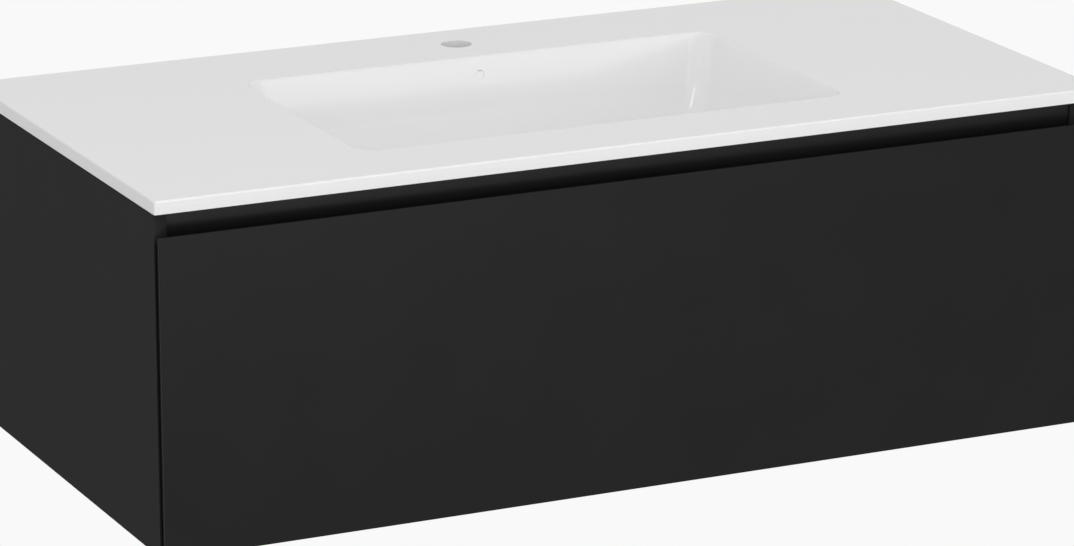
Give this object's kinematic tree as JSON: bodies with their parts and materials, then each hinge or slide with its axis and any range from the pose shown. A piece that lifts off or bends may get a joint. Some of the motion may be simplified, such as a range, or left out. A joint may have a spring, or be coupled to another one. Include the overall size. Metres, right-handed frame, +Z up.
{
  "type": "wall-hung vanity unit with sink",
  "caption": "Wall-hung vanity unit: wide grip-recess drawer with mitred corners under a thin white cast top with an integrated rectangular basin.",
  "frame": {"origin": "wall plane, middle of the four wall screws", "axes": "+X to the right seen from the front, +Y towards the wall, +Z up"},
  "size_m": [1.05, 0.525, 0.36],
  "materials": {
    "cast_white": "matt cast mineral, silky",
    "black_panel": "matt black lacquered board",
    "black_front": "matt black lacquered board",
    "black_rail": "satin black lacquered board",
    "carcass_board": "black melamine board",
    "drawer_board": "dark grey melamine with a fine linen texture",
    "drawer_steel": "anthracite powder coat",
    "zinc_steel": "bright zinc plate",
    "cam_zinc": "zinc die casting",
    "roller_steel": "polished steel",
    "nylon": "natural nylon",
    "grey_plastic": "moulded grey plastic",
    "white_plastic": "moulded white plastic",
    "chrome": "polished chrome plate",
    "rubber": "black rubber",
    "sealant": "cured silicone",
    "beech": "grooved beech"
  },
  "bodies": {
    "cabinet": {"basin_top": "cast_white", "left_side_panel": "black_panel", "right_side_panel": "black_panel", "front_rail": "black_rail", "bottom_panel": "carcass_board", "rear_rail": "carcass_board", "lower_rear_rail": "carcass_board", "left_cabinet_rail": "zinc_steel", "right_cabinet_rail": "zinc_steel", "left_wall_plate": "zinc_steel", "right_wall_plate": "zinc_steel", "left_hanger_hook": "zinc_steel", "right_hanger_hook": "zinc_steel", "hanger_screws": "zinc_steel", "rail_screws": "zinc_steel", "cam_bolts": "zinc_steel", "cam_locks": "cam_zinc", "left_soft_close": "grey_plastic", "right_soft_close": "grey_plastic", "left_hanger": "grey_plastic", "right_hanger": "grey_plastic", "overflow_pipe": "white_plastic", "overflow_nuts": "white_plastic", "waste_nut": "white_plastic", "waste_body": "chrome", "waste_upper_seal": "rubber", "waste_lower_seal": "rubber", "bump_stops": "rubber", "top_sealant": "sealant", "wood_dowels": "beech"},
    "drawer": {"drawer_front": "black_front", "bracket_screws": "zinc_steel", "drawer_bottom": "drawer_board", "notch_guard": "grey_plastic", "left_front_bracket": "zinc_steel", "right_front_bracket": "zinc_steel", "left_drawer_side": "drawer_steel", "right_drawer_side": "drawer_steel", "left_drawer_back": "drawer_board", "right_drawer_back": "drawer_board", "left_drawer_rail": "zinc_steel", "right_drawer_rail": "zinc_steel"},
    "plug": {"waste_plug": "chrome"},
    "left_middle": {"left_middle_rail": "zinc_steel"},
    "left_lower_rolling": {"left_lower_cage": "nylon", "left_lower_rollers": "roller_steel"},
    "left_upper_rolling": {"left_upper_cage": "nylon", "left_upper_rollers": "roller_steel"},
    "right_middle": {"right_middle_rail": "zinc_steel"},
    "right_lower_rolling": {"right_lower_cage": "nylon", "right_lower_rollers": "roller_steel"},
    "right_upper_rolling": {"right_upper_cage": "nylon", "right_upper_rollers": "roller_steel"}
  },
  "joints": [
    {"name": "drawer_slide", "type": "slide", "parent": "cabinet", "child": "drawer", "axis": [0, -1, 0], "range_m": [0, 0.43]},
    {"name": "plug_push", "type": "slide", "parent": "cabinet", "child": "plug", "axis": [0, 0, 1], "range_m": [-0.0077, 0], "stiffness_N_per_m": 500, "springref_m": 0.008},
    {"name": "left_middle_slide", "type": "slide", "parent": "cabinet", "child": "left_middle", "axis": [0, -1, 0], "range_m": [0, 0.215]},
    {"name": "left_lower_rolling_slide", "type": "slide", "parent": "cabinet", "child": "left_lower_rolling", "axis": [0, -1, 0], "range_m": [0, 0.1075]},
    {"name": "left_upper_rolling_slide", "type": "slide", "parent": "cabinet", "child": "left_upper_rolling", "axis": [0, -1, 0], "range_m": [0, 0.3225]},
    {"name": "right_middle_slide", "type": "slide", "parent": "cabinet", "child": "right_middle", "axis": [0, -1, 0], "range_m": [0, 0.215]},
    {"name": "right_lower_rolling_slide", "type": "slide", "parent": "cabinet", "child": "right_lower_rolling", "axis": [0, -1, 0], "range_m": [0, 0.1075]},
    {"name": "right_upper_rolling_slide", "type": "slide", "parent": "cabinet", "child": "right_upper_rolling", "axis": [0, -1, 0], "range_m": [0, 0.3225]}
  ],
  "couplings": [
    {"joint": "left_middle_slide", "follows": "drawer_slide", "ratio": 0.5},
    {"joint": "left_lower_rolling_slide", "follows": "drawer_slide", "ratio": 0.25},
    {"joint": "left_upper_rolling_slide", "follows": "drawer_slide", "ratio": 0.75},
    {"joint": "right_middle_slide", "follows": "drawer_slide", "ratio": 0.5},
    {"joint": "right_lower_rolling_slide", "follows": "drawer_slide", "ratio": 0.25},
    {"joint": "right_upper_rolling_slide", "follows": "drawer_slide", "ratio": 0.75}
  ]
}
